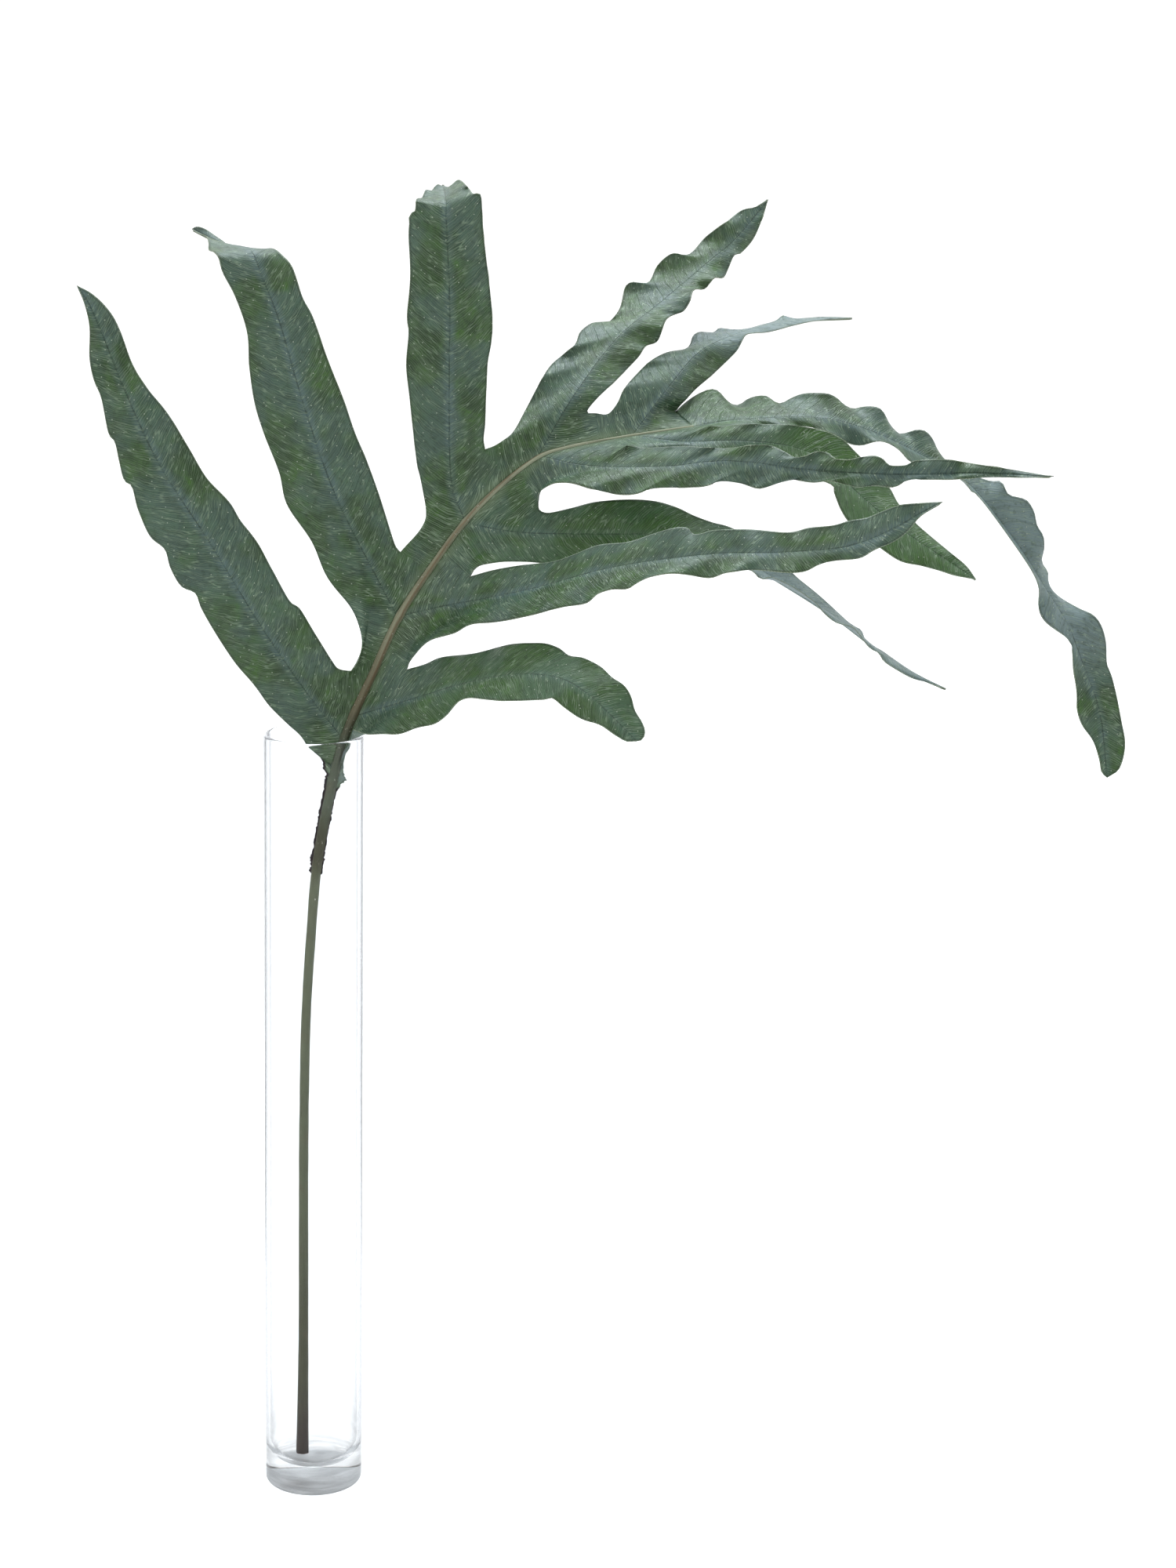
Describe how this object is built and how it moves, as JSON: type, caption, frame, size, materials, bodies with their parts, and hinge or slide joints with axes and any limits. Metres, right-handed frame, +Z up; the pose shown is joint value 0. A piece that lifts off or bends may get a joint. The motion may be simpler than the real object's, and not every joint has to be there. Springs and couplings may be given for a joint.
{
  "type": "fern frond",
  "caption": "Arching cut fern frond with long waved lobes on one slender stalk, standing in a tall clear glass cylinder vase.",
  "frame": {"origin": "centre of the vase's flat underside, on the surface it stands on", "axes": "+Z up along the vase, -Y towards the side that the frond's upper face looks to, +X towards the side that the frond arches over"},
  "size_m": [0.5332, 0.2486, 0.6653],
  "materials": {
    "glass": "clear, polished",
    "stalk": "satin",
    "blade": "leathery, slightly waxy"
  },
  "bodies": {
    "root": {"glass_vase": "glass", "frond_stalk": "stalk", "frond_blade": "blade"}
  },
  "joints": []
}
